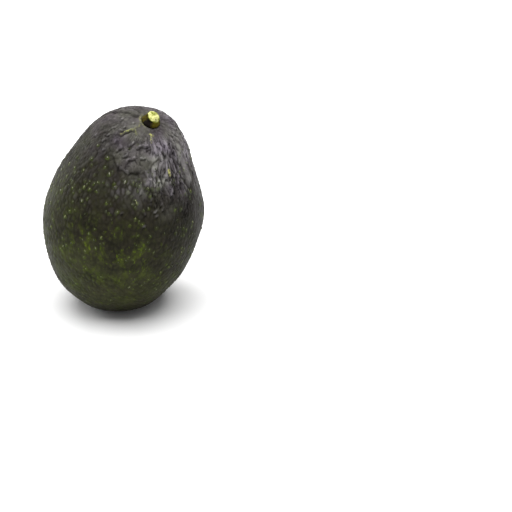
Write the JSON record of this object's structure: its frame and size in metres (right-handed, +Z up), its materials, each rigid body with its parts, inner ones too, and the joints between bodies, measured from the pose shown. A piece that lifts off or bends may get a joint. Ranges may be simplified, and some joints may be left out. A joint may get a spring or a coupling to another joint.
{
  "type": "avocado",
  "caption": "Whole ripe avocado with pebbled dark skin and a short cut stem button, resting upright on its blossom end.",
  "frame": {"origin": "middle of the small flat at the blossom end, which the fruit rests on", "axes": "+Z up towards the stem end, -Y the front as pictured, +X to its right"},
  "size_m": [0.0718, 0.0703, 0.0949],
  "materials": {
    "skin": "waxy, pebbled fruit skin, nearly black with green specks",
    "stem": "dry cut stalk, pale yellow-green on the cut face"
  },
  "bodies": {
    "root": {"fruit": "skin", "stem_button": "stem"}
  },
  "joints": []
}
